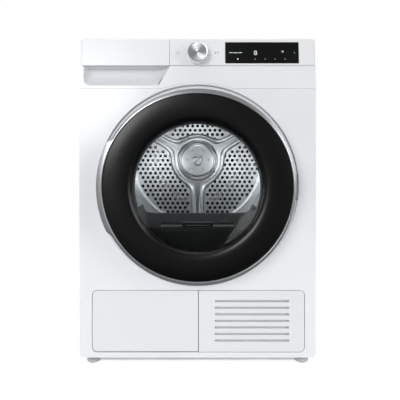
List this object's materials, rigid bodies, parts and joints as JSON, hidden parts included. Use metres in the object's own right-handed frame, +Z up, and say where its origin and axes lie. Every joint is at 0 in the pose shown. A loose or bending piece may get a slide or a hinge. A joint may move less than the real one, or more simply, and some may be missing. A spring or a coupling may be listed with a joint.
{
  "type": "clothes dryer",
  "caption": "Front-loading heat-pump clothes dryer with a round glazed door, slanted control panel, turning dial, water tank drawer and vented kick area.",
  "frame": {"origin": "on the floor, at the middle of the overall width and depth", "axes": "+X to the right seen from the front, +Y from the front to the back, +Z up"},
  "size_m": [0.6, 0.65, 0.845],
  "materials": {
    "white_enamel": "gloss",
    "worktop_laminate": "satin",
    "galvanised_steel": "spangled",
    "white_abs": "gloss",
    "grey_polypropylene": "moulded",
    "black_polypropylene": "moulded",
    "natural_polypropylene": "translucent",
    "filter_nylon": "moulded",
    "silver_plating": "satin",
    "spun_aluminium": "spun",
    "black_glass": "polished",
    "clear_glass": "polished",
    "stainless_steel": "brushed",
    "lifter_plastic": "moulded",
    "zinc_steel": "zinc plated",
    "cast_motor": "cast",
    "black_paint": "satin",
    "coil_aluminium": "finned",
    "copper": "drawn",
    "wool_felt": "felted",
    "black_rubber": "moulded",
    "grey_rubber": "moulded",
    "roller_rubber": "moulded",
    "board": "laminated",
    "catch_plastic": "moulded"
  },
  "bodies": {
    "cabinet": {"base_unit": "grey_polypropylene", "cabinet_screws": "zinc_steel", "compressor": "black_paint", "condensate_hose": "black_rubber", "condensate_pump": "grey_polypropylene", "control_board": "board", "control_fascia": "white_abs", "control_panel": "white_abs", "display_glass": "black_glass", "door_catch": "catch_plastic", "door_gasket": "black_rubber", "drive_belt": "black_rubber", "drum_felt_seals": "wool_felt", "drum_lamp": "clear_glass", "exchanger_cover": "grey_polypropylene", "fan_scroll": "grey_polypropylene", "filter_housing": "black_polypropylene", "front_bulkhead": "black_polypropylene", "front_panel": "white_enamel", "heat_exchanger_coils": "coil_aluminium", "hinge_bracket": "zinc_steel", "idler_spring": "zinc_steel", "mains_inlet": "black_rubber", "motor_housing": "cast_motor", "mouth_throat": "black_polypropylene", "rear_bearing": "zinc_steel", "rear_bulkhead": "galvanised_steel", "rear_duct_cover": "galvanised_steel", "rear_panel": "galvanised_steel", "refrigerant_pipes": "copper", "side_panel_left": "white_enamel", "side_panel_right": "white_enamel", "vent_grille": "white_abs", "worktop": "worktop_laminate"},
    "door": {"door_frame": "white_abs", "door_bezel": "silver_plating", "door_glass": "black_glass", "door_window": "clear_glass", "door_bowl": "clear_glass", "door_pin": "zinc_steel"},
    "drum": {"drum_shell": "stainless_steel", "drum_back": "stainless_steel", "drum_lifters": "lifter_plastic"},
    "motor": {"motor_shaft": "zinc_steel", "blower_wheel": "black_polypropylene"},
    "idler": {"idler_arm": "zinc_steel"},
    "idler_pulley": {"idler_wheel": "roller_rubber"},
    "left_roller": {"roller_left": "roller_rubber"},
    "right_roller": {"roller_right": "roller_rubber"},
    "tank": {"tank_front": "white_abs", "tank_body": "natural_polypropylene"},
    "filter": {"lint_filter": "filter_nylon"},
    "hatch": {"exchanger_hatch": "white_abs"},
    "left_latch": {"cover_latch_left": "grey_polypropylene"},
    "right_latch": {"cover_latch_right": "grey_polypropylene"},
    "dial": {"dial_knob": "spun_aluminium"},
    "foot_a": {"foot_front_left": "grey_rubber"},
    "foot_b": {"foot_front_right": "grey_rubber"},
    "foot_c": {"foot_rear_left": "grey_rubber"},
    "foot_d": {"foot_rear_right": "grey_rubber"}
  },
  "joints": [
    {"name": "door_hinge", "type": "hinge", "parent": "cabinet", "child": "door", "pos_m": [0.238, -0.3, 0.467], "axis": [0, 0, 1], "range_deg": [0, 150]},
    {"name": "drum_spin", "type": "hinge", "parent": "cabinet", "child": "drum", "pos_m": [0, 0, 0.526], "axis": [0, 1, 0], "continuous": true},
    {"name": "motor_spin", "type": "hinge", "parent": "cabinet", "child": "motor", "pos_m": [0.15, 0, 0.125], "axis": [0, 1, 0], "continuous": true},
    {"name": "idler_swing", "type": "hinge", "parent": "cabinet", "child": "idler", "pos_m": [0.04, 0.0385, 0.15], "axis": [0, 1, 0], "range_deg": [0, 12], "stiffness_Nm_per_rad": 2, "springref_deg": -20.05, "deforming": ["idler_spring"]},
    {"name": "idler_spin", "type": "hinge", "parent": "idler", "child": "idler_pulley", "pos_m": [0.088, 0, 0.147], "axis": [0, 1, 0], "continuous": true},
    {"name": "left_roller_spin", "type": "hinge", "parent": "cabinet", "child": "left_roller", "pos_m": [-0.1478, 0, 0.248], "axis": [0, 1, 0], "continuous": true},
    {"name": "right_roller_spin", "type": "hinge", "parent": "cabinet", "child": "right_roller", "pos_m": [0.1478, 0, 0.248], "axis": [0, 1, 0], "continuous": true},
    {"name": "tank_slide", "type": "slide", "parent": "cabinet", "child": "tank", "axis": [0, -1, 0], "range_m": [0, 0.42]},
    {"name": "filter_lift", "type": "slide", "parent": "cabinet", "child": "filter", "axis": [0, 0, 1], "range_m": [0, 0.19]},
    {"name": "hatch_hinge", "type": "hinge", "parent": "cabinet", "child": "hatch", "pos_m": [-0.133, -0.274, 0.047], "axis": [1, 0, 0], "range_deg": [0, 90]},
    {"name": "left_latch_turn", "type": "hinge", "parent": "cabinet", "child": "left_latch", "pos_m": [-0.248, -0.25, 0.122], "axis": [0, 1, 0], "range_deg": [0, 90]},
    {"name": "right_latch_turn", "type": "hinge", "parent": "cabinet", "child": "right_latch", "pos_m": [-0.046, -0.25, 0.122], "axis": [0, 1, 0], "range_deg": [0, 90]},
    {"name": "dial_spin", "type": "hinge", "parent": "cabinet", "child": "dial", "pos_m": [0, -0.26897, 0.79929], "axis": [0, -0.9976, 0.0698], "continuous": true},
    {"name": "front_left_foot_screw", "type": "slide", "parent": "cabinet", "child": "foot_a", "axis": [0, 0, -1], "range_m": [0, 0.012]},
    {"name": "front_right_foot_screw", "type": "slide", "parent": "cabinet", "child": "foot_b", "axis": [0, 0, -1], "range_m": [0, 0.012]},
    {"name": "rear_left_foot_screw", "type": "slide", "parent": "cabinet", "child": "foot_c", "axis": [0, 0, -1], "range_m": [0, 0.012]},
    {"name": "rear_right_foot_screw", "type": "slide", "parent": "cabinet", "child": "foot_d", "axis": [0, 0, -1], "range_m": [0, 0.012]}
  ],
  "couplings": [
    {"joint": "motor_spin", "follows": "drum_spin", "ratio": 25.864},
    {"joint": "idler_spin", "follows": "drum_spin", "ratio": -17.781},
    {"joint": "left_roller_spin", "follows": "drum_spin", "ratio": -9.4833},
    {"joint": "right_roller_spin", "follows": "drum_spin", "ratio": -9.4833}
  ]
}
